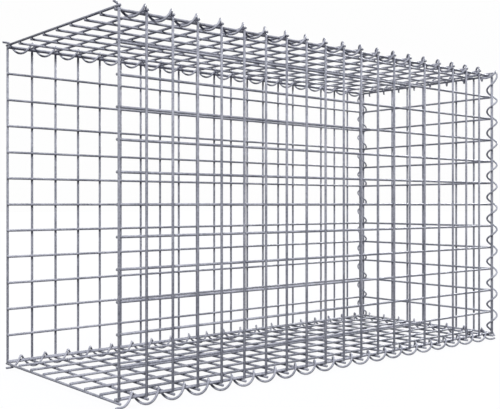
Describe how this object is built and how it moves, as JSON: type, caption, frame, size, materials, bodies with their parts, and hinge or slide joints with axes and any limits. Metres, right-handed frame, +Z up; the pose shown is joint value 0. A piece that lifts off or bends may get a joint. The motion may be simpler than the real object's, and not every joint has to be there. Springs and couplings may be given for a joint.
{
  "type": "gabion basket",
  "caption": "Box of welded wire mesh with a lid and one open end, its edges laced with wire spirals; filled with stones it is one bay of a gabion wall.",
  "frame": {"origin": "middle of the underside, at ground level, where the lower spirals rest", "axes": "+X along the length towards the closed end, +Y from front to back, +Z up"},
  "size_m": [1.0286, 0.433, 0.6354],
  "materials": {
    "mesh_wire": "galvanised, satin",
    "spiral_wire": "galvanised, satin"
  },
  "bodies": {
    "root": {"front_panel": "mesh_wire", "back_panel": "mesh_wire", "end_panel": "mesh_wire", "base_panel": "mesh_wire", "lid_panel": "mesh_wire", "front_top_spiral": "spiral_wire", "back_top_spiral": "spiral_wire", "front_bottom_spiral": "spiral_wire", "back_bottom_spiral": "spiral_wire", "end_front_spiral": "spiral_wire", "end_back_spiral": "spiral_wire", "end_top_spiral": "spiral_wire", "end_bottom_spiral": "spiral_wire"}
  },
  "joints": []
}
